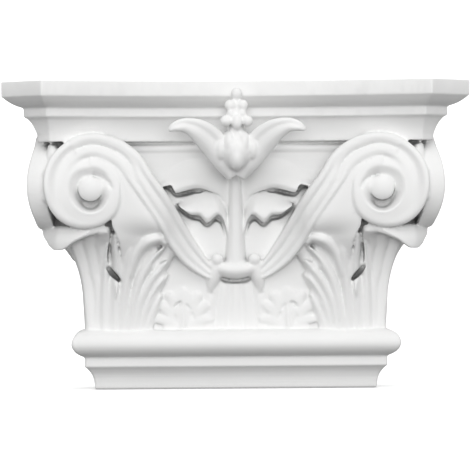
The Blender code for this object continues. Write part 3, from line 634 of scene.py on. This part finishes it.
# Turns around the eye, each with the radius and the depth of the rim, the line inside it, the swell,
# the inner line, the coil's crest and the hollow at the eye
COIL = (
    (90, (36.4, 0.0), (32.1, 3.6), (27.0, 0.8), (23.0, 4.2), (16.0, 0.8), (10.2, 4.6)),
    (135, (33.0, 0.0), (28.6, 2.9), (23.2, 0.7), (19.5, 1.0), (16.2, 0.8), (10.4, 5.2)),
    (180, (29.9, 0.0), (25.4, 1.5), (20.4, 0.5), (18.2, 0.5), (15.4, 0.6), (10.2, 6.8)),
    (225, (28.6, 0.0), (24.6, 0.6), (20.8, 0.3), (18.8, 0.3), (15.8, 0.7), (11.2, 10.0)),
    (270, (25.8, 0.1), (23.4, 0.2), (21.4, 0.2), (19.6, 0.3), (17.0, 1.0), (12.8, 14.0)),
    (315, (23.4, 0.2), (21.4, 0.2), (19.6, 0.2), (18.2, 0.3), (15.6, 0.7), (11.2, 8.4)),
    (360, (21.0, 0.6), (20.0, 0.3), (18.8, 0.3), (17.2, 0.3), (14.0, 0.7), (9.6, 3.2)),
    (405, (22.6, 2.6), (21.8, 2.0), (20.8, 1.3), (19.4, 0.9), (16.2, 0.8), (11.4, 4.6)),
    (450, (22.5, 3.2), (21.8, 2.6), (21.0, 1.8), (19.8, 1.1), (16.0, 0.8), (10.2, 4.6)),
)


def coil():
    """The coil from the top of the volute, out and round below, back to the top beside the eye."""
    places = []
    for turn, *spots in COIL:
        edge = spiral_radius(turn) / UNIT
        drop = 2.0 if turn < 330 else 3.6
        row = [turn, edge, drop, edge - 0.9, 0.5 * drop]
        for r, sink in spots:
            row += [r, sink]
        places.append(row + [8.2, spots[-1][1] - 0.2])
    rings = []
    for turn, *flat in dense(places, 9):
        spots = dense(np.array(flat).reshape(-1, 2), 4)
        ring = []
        for r, sink in spots:
            x, z = round_eye(r * UNIT, turn)
            ring.append((x, volute_y(x, z) + sink * UNIT + tail(x, z), z))
        for r in (spots[-1][0], spots[0][0]):
            x, z = round_eye(r * UNIT, turn)
            ring.append((x, volute_y(x, EYE_Z) + THICK, z))
        rings.append(ring)
    keep(*tube(rings), BOTH)


def scroll():
    """The stalk from the calyx up to the top of the volute, then its eye and the disc behind."""
    # Outer edge, inner edge and share of the volute's stand
    low = (
        ((13.9, 86.6), (15.2, 78.4), 0.00), ((20.0, 92.5), (22.8, 80.2), 0.07),
        ((29.7, 107.0), (36.9, 89.7), 0.26), ((40.3, 125.0), (47.4, 102.2), 0.50),
        ((49.2, 140.0), (54.8, 115.7), 0.76),
    )
    pairs = []
    for outer_edge, inner_edge, share in low:
        pairs.append((*on_bell(*outer_edge), *on_bell(*inner_edge), share, 0.0))
    inner = ((12.0, 28.6), (28.0, 24.9), (52.0, 23.2), (75.0, 22.9), (96.0, 22.6), (114.0, 21.2))
    for t in (12.0, 34.0, 56.0, 78.0, 96.0, 112.0):
        behind = 6.0 if t < 60.0 else 0.0
        inner_radius = float(np.interp(t - behind, *zip(*inner))) * UNIT
        share, kind = min(1.0, 0.92 + t / 500.0), min(1.0, t / 50.0)
        pairs.append((*round_eye(spiral_radius(t), t), *round_eye(inner_radius, t - behind), share, kind))
    rings = []
    for ax, az, bx, bz, share, kind in dense(pairs, 7):
        share, blend = min(1.0, share), float(smooth(kind))
        ring = []
        for (u0, s0), (u1, s1) in zip(STALK_FORM, SCROLL_FORM):
            u = mix(u0, u1, blend)
            x, z = mix(ax, bx, u), mix(az, bz, u)
            near = float(bell_y(x, z)) - 7.5 * UNIT
            y = mix(near, volute_y(x, z), float(smooth(share)))
            ring.append((x, y + mix(s0, s1, blend) * UNIT * mix(0.75, 1.0, share), z))
        for x, z in ((bx, bz), (ax, az)):
            back = float(bell_y(x, z)) + 4.0 * UNIT
            free = float(smooth((share - 0.6) / 0.4)) * 0.6 + 0.4 * blend
            ring.append((x, mix(back, volute_y(x, EYE_Z) + THICK, free), z))
        rings.append(ring)
    keep(*tube(rings), BOTH)
    deep = 5.0 * UNIT
    middle = (EYE_X, volute_y(EYE_X, EYE_Z) + deep + 0.7 * UNIT, EYE_Z)
    keep(*blob(middle, (EYE_R, deep, EYE_R)), BOTH)
    disc = []
    for sink in (THICK - 2.0 * UNIT, THICK):
        ring = []
        for k in range(72):
            t = 90.0 + 5.0 * k
            x, z = round_eye(spiral_radius(t) - 1.5 * UNIT, t)
            ring.append((x, volute_y(x, EYE_Z) + sink, z))
        disc.append(ring)
    keep(*tube(disc), BOTH)


# Corner leaves
def corner_leaf():
    reach = 32.0 * UNIT
    low = BELL_FOOT - 2.0 * UNIT
    top = EYE_Z - 30.6 * UNIT
    # Shares of the reach and of the rise, half width, how far the sides wrap back, and thickness
    marks = (
        (0.03, 0.00, 0.58, 1.00, 1.0), (0.07, 0.22, 0.58, 1.00, 1.0), (0.12, 0.45, 0.58, 0.99, 1.0),
        (0.24, 0.64, 0.58, 0.94, 1.0), (0.40, 0.80, 0.68, 0.82, 1.0), (0.60, 0.925, 0.92, 0.62, 1.0),
        (0.82, 0.995, 1.10, 0.46, 0.85), (0.95, 0.975, 0.90, 0.39, 0.55), (1.03, 0.905, 0.56, 0.34, 0.34),
        (1.03, 0.82, 0.16, 0.30, 0.22),
    )
    rows = dense(marks, 9)
    corner_x = NECK_HALF + OUT_LOW
    corner_y = -(FACE_Y + OUT_LOW)
    full = 28.0 * UNIT
    steps = 64
    rings = []
    last = len(rows) - 1
    for k, (s, h, w, wrap, thin) in enumerate(rows):
        before, after = rows[max(0, k - 1)], rows[min(last, k + 1)]
        ds = (after[0] - before[0]) * reach
        dh = (after[1] - before[1]) * (top - low)
        size = math.hypot(ds, dh)
        out_s, out_h = dh / size, -ds / size
        v = k / last
        notch = 1.0 - 0.07 * abs(math.sin(v * math.pi * 5.0)) ** 6
        outer, inner = [], []
        for i in range(steps + 1):
            u = mix(-1.0, 1.0, i / steps)
            fade = min(1.0, v * 6.0) * (1.0 - 0.55 * float(smooth((v - 0.62) / 0.3)))
            rib = -1.5 * fade * (math.exp(-((abs(u) - 0.30) / 0.075) ** 2)
                                 + math.exp(-((abs(u) - 0.66) / 0.07) ** 2))
            rib += 0.9 * fade * math.exp(-(u / 0.12) ** 2)
            edge = -1.6 * float(smooth((abs(u) - 0.86) / 0.14))
            q = u * full * w * notch
            back = abs(q) * wrap * 0.97
            soft = 3.0 * UNIT * wrap
            back = math.sqrt(back ** 2 + soft ** 2) - soft
            for lift, out in (((2.0 + rib + edge) * UNIT, outer), (-5.6 * thin * UNIT, inner)):
                d = s * reach - back + lift * out_s
                z = mix(low, top, h) + lift * out_h
                x = corner_x + (d + q) / math.sqrt(2.0)
                y = corner_y - (d - q) / math.sqrt(2.0)
                out.append((x, y, z))
        rings.append(outer + inner[::-1])
    keep(*tube(rings), ("left",))


# Flower and beads
def flower():
    out = FRONT - 12.0 * UNIT
    top = BELL_TOP + 10.3 * UNIT
    reach = 49.0 * UNIT
    # Petal: share of the reach, height from the top, half width and share of the flower's stand
    marks = (
        (0.06, -37.0, 3.6, 0.80), (0.18, -26.5, 7.4, 0.89), (0.34, -13.0, 10.2, 0.96),
        (0.54, -4.0, 8.6, 1.03), (0.74, 0.2, 5.6, 1.08), (0.90, -0.6, 3.7, 1.10), (1.00, -3.2, 1.3, 1.09),
    )
    rows = dense(marks, 9)
    rings = []
    last = len(rows) - 1
    for k, (s, h, half, share) in enumerate(rows):
        before, after = rows[max(0, k - 1)], rows[min(last, k + 1)]
        dx, dz = (after[0] - before[0]) * reach, (after[1] - before[1]) * UNIT
        size = math.hypot(dx, dz)
        nx, nz = -dz / size, dx / size
        x, z, depth = reach * s, top + h * UNIT, out * share
        half *= UNIT
        ring = []
        for i in range(21):
            u = mix(-1.0, 1.0, i / 20)
            dip = (2.6 * abs(u) ** 3 + 1.5 * math.exp(-((u - 0.25) / 0.22) ** 2)
                   - 0.6 * math.exp(-((u + 0.45) / 0.3) ** 2))
            dip *= UNIT * min(1.0, half / (6.0 * UNIT))
            ring.append((x + u * half * nx, -depth + dip, z + u * half * nz))
        thick = 16.0 * UNIT * (1.0 - 0.55 * k / last)
        for u in (0.85, 0.0, -0.85):
            ring.append((x + u * half * nx, -depth + thick, z + u * half * nz))
        rings.append(ring)
    keep(*tube(rings), ("left",))

    bud = top - 18.0 * UNIT

    def ball(place, radii, ways=()):
        x, y, z = place
        keep(*blob((x * UNIT, -out + y * UNIT, bud + z * UNIT), [r * UNIT for r in radii]), ways)

    # Bud: its body, then its lobes
    ball((0.0, 25.0, 0.6), (15.6, 25.6, 15.6))
    ball((0.0, 8.2, -4.4), (6.0, 9.4, 9.6))
    ball((5.4, 10.0, 5.6), (4.6, 9.4, 9.4), ("left",))
    ball((11.8, 11.6, 2.6), (5.2, 8.8, 10.2), ("left",))
    # Beads above it, on a spine
    spine = []
    for w, y, z in ((6.5, 15.0, 5.0), (6.2, 15.5, 20.0), (4.2, 16.0, 33.0), (2.2, 17.0, 42.0)):
        spine.append(hoop((0.0, -out + y * UNIT, bud + z * UNIT), w * UNIT, 11.0 * UNIT))
    keep(*tube(spine))
    ball((0.3, 7.5, 41.4), (4.018, 4.1, 4.305))
    ball((4.5, 6.5, 33.0), (4.1, 4.1, 4.1), ("left",))
    ball((7.8, 5.0, 21.6), (4.182, 4.51, 4.1), ("left",))
    ball((0.2, 3.6, 20.6), (3.69, 4.51, 5.535))
    ball((4.2, 5.6, 27.0), (2.87, 3.28, 3.28), ("left",))
    # Buttons on the calyx
    button_z = on_bell(0.0, 93.3)[1]
    button_y = float(bell_y(0.0, button_z)) - 6.4 * UNIT
    keep(*blob((13.6 * UNIT, button_y, button_z), (4.3 * UNIT, 4.0 * UNIT, 4.3 * UNIT)), ("left",))


def cleft():
    """Beads, a small post and a thin web between the paired volutes."""
    edge = EYE_X + 32.0 * UNIT
    for up, size in ((10.5, 0.9), (2.0, 0.9), (-6.0, 0.8)):
        place = (edge - 0.6 * UNIT, SHIFT - edge + 0.6 * UNIT, EYE_Z + up * UNIT)
        keep(*blob(place, (4.2 * UNIT * size, 4.2 * UNIT * size, 5.0 * UNIT * size)), ("left",))
    post = []
    for z, w in ((-12.0, 2.0), (-6.0, 4.0), (10.0, 4.6), (26.0, 4.6), (32.0, 3.6)):
        middle = (edge - 5.0 * UNIT, SHIFT - edge + 5.0 * UNIT, EYE_Z + z * UNIT)
        post.append(hoop(middle, w * UNIT, w * UNIT))
    keep(*tube(post), ("left",))
    web_in = NECK_HALF + OUT_HIGH - 20.0 * UNIT
    web_out = edge - 4.0 * UNIT
    web = []
    for z in (EYE_Z - 7.0 * UNIT, BELL_TOP + 2.0 * UNIT):
        web.append([(web_in, SHIFT - web_in - 12.0 * UNIT, z),
                    (web_out, SHIFT - web_out - 1.2 * UNIT, z),
                    (web_out + 1.2 * UNIT, SHIFT - web_out, z),
                    (web_in + 12.0 * UNIT, SHIFT - web_in, z)])
    keep(*tube(web), ("left",))


def bake(obj):
    """Makes the modified shape the object's own mesh."""
    depsgraph = bpy.context.evaluated_depsgraph_get()
    result = bpy.data.meshes.new_from_object(obj.evaluated_get(depsgraph))
    obj.modifiers.clear()
    obj.data = result
    return result


# One casting
core()
relief()
side_leaf()
cheek()
keep(*relief_slab(1.0))
keep_aside(*relief_slab(0.42))
scroll()
coil()
corner_leaf()
flower()
cleft()

all_verts, all_faces, start = [], [], 0
for verts, faces in SHELLS:
    all_verts.append(verts)
    all_faces += [tuple(c + start for c in f) for f in faces]
    start += len(verts)
mesh = bpy.data.meshes.new("capital_carved")
mesh.from_pydata(np.concatenate(all_verts).tolist(), [], all_faces)
mesh.update()
capital = bpy.data.objects.new("capital_carved", mesh)
bpy.context.scene.collection.objects.link(capital)

remesh = capital.modifiers.new("one_skin", "REMESH")
remesh.mode = "VOXEL"
remesh.voxel_size = VOXEL
remesh.adaptivity = 0.0
soften = capital.modifiers.new("soften", "SMOOTH")
soften.factor = 0.5
soften.iterations = 2
skin = bake(capital)
bpy.data.meshes.remove(mesh)

LIMIT = 185000   # triangles before the part behind the wall is cut off
triangles = sum(len(p.vertices) - 2 for p in skin.polygons)
thin = capital.modifiers.new("thin", "DECIMATE")
thin.ratio = min(1.0, LIMIT / triangles)
skin = bake(capital)

SNAP = 0.35 * UNIT       # points this near the top or the foot are set level
bm = bmesh.new()
bm.from_mesh(skin)
cut = bmesh.ops.bisect_plane(bm, geom=bm.verts[:] + bm.edges[:] + bm.faces[:], dist=1e-7,
                             plane_co=(0.0, WALL, 0.0), plane_no=(0.0, 1.0, 0.0), clear_outer=True)
rim = [e for e in cut["geom_cut"] if isinstance(e, bmesh.types.BMEdge)]
bmesh.ops.triangle_fill(bm, use_beauty=True, use_dissolve=False, edges=rim)
for v in bm.verts:
    if v.co.z > HEIGHT - SNAP:
        v.co.z = HEIGHT
    if v.co.z < SNAP:
        v.co.z = 0.0
    v.co.x = min(max(v.co.x, LOW.x), HIGH.x)
    v.co.y = min(max(v.co.y, LOW.y), HIGH.y)
    v.co.z = min(max(v.co.z, LOW.z), HIGH.z)
bmesh.ops.recalc_face_normals(bm, faces=bm.faces[:])
bm.to_mesh(skin)
bm.free()
skin.shade_smooth()
skin.set_sharp_from_angle(angle=math.radians(38.0))
print("capital_carved triangles", sum(len(p.vertices) - 2 for p in skin.polygons))


# Matte white primer
def primer():
    mat = bpy.data.materials.new("white_primer_matte")
    mat.use_nodes = True
    nodes, links = mat.node_tree.nodes, mat.node_tree.links
    shader = nodes["Principled BSDF"]
    shader.inputs["Roughness"].default_value = 0.6
    shader.inputs["Specular IOR Level"].default_value = 0.35
    coord = nodes.new("ShaderNodeTexCoord")
    broad = nodes.new("ShaderNodeTexNoise")
    broad.inputs["Scale"].default_value = 22.0
    broad.inputs["Detail"].default_value = 3.0
    links.new(coord.outputs["Object"], broad.inputs["Vector"])
    tone = nodes.new("ShaderNodeMapRange")
    tone.inputs["From Min"].default_value = 0.3
    tone.inputs["From Max"].default_value = 0.7
    tone.inputs["To Min"].default_value = 0.97
    tone.inputs["To Max"].default_value = 1.0
    links.new(broad.outputs["Fac"], tone.inputs["Value"])
    # Painted shade: the base colour is darkened where ambient occlusion finds deep cuts and undercuts,
    # standing in for the shadow that falls there
    shade = nodes.new("ShaderNodeAmbientOcclusion")
    shade.samples = 8
    shade.inputs["Distance"].default_value = 0.014
    # Painted shade: occlusion is mapped steeply, so narrow undercuts go nearly black and open faces stay
    # white
    painted_cavity_shade = nodes.new("ShaderNodeMapRange")
    painted_cavity_shade.interpolation_type = "SMOOTHSTEP"
    painted_cavity_shade.inputs["From Min"].default_value = 0.18
    painted_cavity_shade.inputs["From Max"].default_value = 0.50
    painted_cavity_shade.inputs["To Min"].default_value = 0.22
    painted_cavity_shade.inputs["To Max"].default_value = 1.0
    links.new(shade.outputs["AO"], painted_cavity_shade.inputs["Value"])
    tone_and_painted_shade = nodes.new("ShaderNodeMath")
    tone_and_painted_shade.operation = "MULTIPLY"
    links.new(tone.outputs["Result"], tone_and_painted_shade.inputs[0])
    links.new(painted_cavity_shade.outputs["Result"], tone_and_painted_shade.inputs[1])
    # Primer colour with the painted shade mixed in: black where the occlusion is deepest
    primer_with_painted_shade = nodes.new("ShaderNodeMix")
    primer_with_painted_shade.data_type = "RGBA"
    primer_with_painted_shade.inputs["A"].default_value = (0.0, 0.0, 0.0, 1.0)
    primer_with_painted_shade.inputs["B"].default_value = (0.86, 0.86, 0.855, 1.0)
    links.new(tone_and_painted_shade.outputs[0], primer_with_painted_shade.inputs["Factor"])
    links.new(primer_with_painted_shade.outputs["Result"], shader.inputs["Base Color"])
    fine = nodes.new("ShaderNodeTexNoise")
    fine.inputs["Scale"].default_value = 900.0
    fine.inputs["Detail"].default_value = 2.0
    links.new(coord.outputs["Object"], fine.inputs["Vector"])
    bump = nodes.new("ShaderNodeBump")
    bump.inputs["Strength"].default_value = 0.10
    bump.inputs["Distance"].default_value = 0.0004
    links.new(fine.outputs["Fac"], bump.inputs["Height"])
    links.new(bump.outputs["Normal"], shader.inputs["Normal"])
    rough = nodes.new("ShaderNodeMapRange")
    rough.inputs["To Min"].default_value = 0.52
    rough.inputs["To Max"].default_value = 0.66
    links.new(broad.outputs["Fac"], rough.inputs["Value"])
    links.new(rough.outputs["Result"], shader.inputs["Roughness"])
    return mat


capital.data.materials.clear()
capital.data.materials.append(primer())
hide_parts("capital")
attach(capital, "root")

# Floor, light and camera
scene = bpy.context.scene
floor_mesh = bpy.data.meshes.new("floor")
floor_verts, floor_faces = [], []
BEND_FROM, BEND = 1.6, 1.2   # the floor bends up into the backdrop
BELOW = 0.0004               # keeps the floor clear of the underside
sweep = [(-4.0, 0.0), (BEND_FROM, 0.0)]
for k in range(1, 17):
    a = math.pi / 2.0 * k / 16
    sweep.append((BEND_FROM + BEND * math.sin(a), BEND - BEND * math.cos(a)))
sweep.append((BEND_FROM + BEND, 5.0))
for y, z in sweep:
    floor_verts += [(-5.0, y, z - BELOW), (5.0, y, z - BELOW)]
for k in range(len(sweep) - 1):
    floor_faces.append((2 * k, 2 * k + 1, 2 * k + 3, 2 * k + 2))
floor_mesh.from_pydata(floor_verts, [], floor_faces)
floor_mesh.shade_smooth()
floor = bpy.data.objects.new("floor", floor_mesh)
scene.collection.objects.link(floor)
pale = bpy.data.materials.new("pale_floor")
pale.use_nodes = True
matt = pale.node_tree.nodes["Principled BSDF"]
matt.inputs["Base Color"].default_value = (0.93, 0.93, 0.93, 1.0)
matt.inputs["Roughness"].default_value = 0.9
matt.inputs["Emission Color"].default_value = (1.0, 1.0, 1.0, 1.0)
matt.inputs["Emission Strength"].default_value = 0.42
matt.inputs["Specular IOR Level"].default_value = 0.1
floor.data.materials.append(pale)
floor.visible_diffuse = False

world = bpy.data.worlds.new("studio")
scene.world = world
world.use_nodes = True
# Even light from above and all round, little from below
sky = world.node_tree.nodes["Background"]
sky.inputs["Color"].default_value = (1.0, 1.0, 1.0, 1.0)
around = world.node_tree.nodes.new("ShaderNodeTexCoord")
split = world.node_tree.nodes.new("ShaderNodeSeparateXYZ")
fade = world.node_tree.nodes.new("ShaderNodeMapRange")
fade.inputs["From Min"].default_value = -0.25
fade.inputs["From Max"].default_value = 0.15
fade.inputs["To Min"].default_value = 0.10
fade.inputs["To Max"].default_value = 0.62
world.node_tree.links.new(around.outputs["Generated"], split.inputs["Vector"])
world.node_tree.links.new(split.outputs["Z"], fade.inputs["Value"])
world.node_tree.links.new(fade.outputs["Result"], sky.inputs["Strength"])


def area(name, place, target, size, power):
    """Soft light at a place, turned to its target; size in metres, power in watts."""
    light = bpy.data.lights.new(name, "AREA")
    light.shape = "RECTANGLE"
    light.size, light.size_y = size
    light.energy = power
    obj = bpy.data.objects.new(name, light)
    obj.location = place
    obj.rotation_euler = (Vector(place) - Vector(target)).to_track_quat("Z", "Y").to_euler()
    scene.collection.objects.link(obj)


CENTRE = (0.0, -0.05, 0.11)
area("key", (0.0, -1.9, 1.5), CENTRE, (1.4, 1.0), 10.0)
area("front", (0.0, -2.6, 0.45), CENTRE, (1.2, 0.8), 27.0)
area("right", (2.0, -1.0, 0.5), CENTRE, (1.0, 1.0), 4.0)
area("left", (-2.0, -1.0, 0.5), CENTRE, (1.0, 1.0), 2.4)
area("backdrop", (0.0, 0.9, 1.8), (0.0, 2.6, 0.5), (2.0, 1.0), 30.0)

lens = bpy.data.cameras.new("camera")
camera = bpy.data.objects.new("camera", lens)
scene.collection.objects.link(camera)
scene.camera = camera
AWAY = 2.76                  # from the middle of the neck, in metres
YAW = math.radians(-1.6)
ROLL = math.radians(-0.36)
EYE_LEVEL = HEIGHT * 0.502
ASIDE = 0.0007
FILLED_AT = 0.07             # how far in front of the neck's middle the picture spans twice SPAN
SPAN = 0.170
camera.location = (AWAY * math.sin(YAW), -AWAY * math.cos(YAW), EYE_LEVEL)
aim = Vector((ASIDE, 0.0, EYE_LEVEL)) - Vector(camera.location)
turned = aim.to_track_quat("-Z", "Y").to_matrix().to_4x4() @ Matrix.Rotation(ROLL, 4, "Z")
camera.rotation_euler = turned.to_euler()
lens.sensor_width = 36.0
lens.lens = lens.sensor_width / 2.0 * (AWAY - FILLED_AT) / SPAN
lens.clip_start = 0.05
lens.clip_end = 40.0
scene.view_settings.view_transform = "Standard"
scene.view_settings.exposure = 0.0
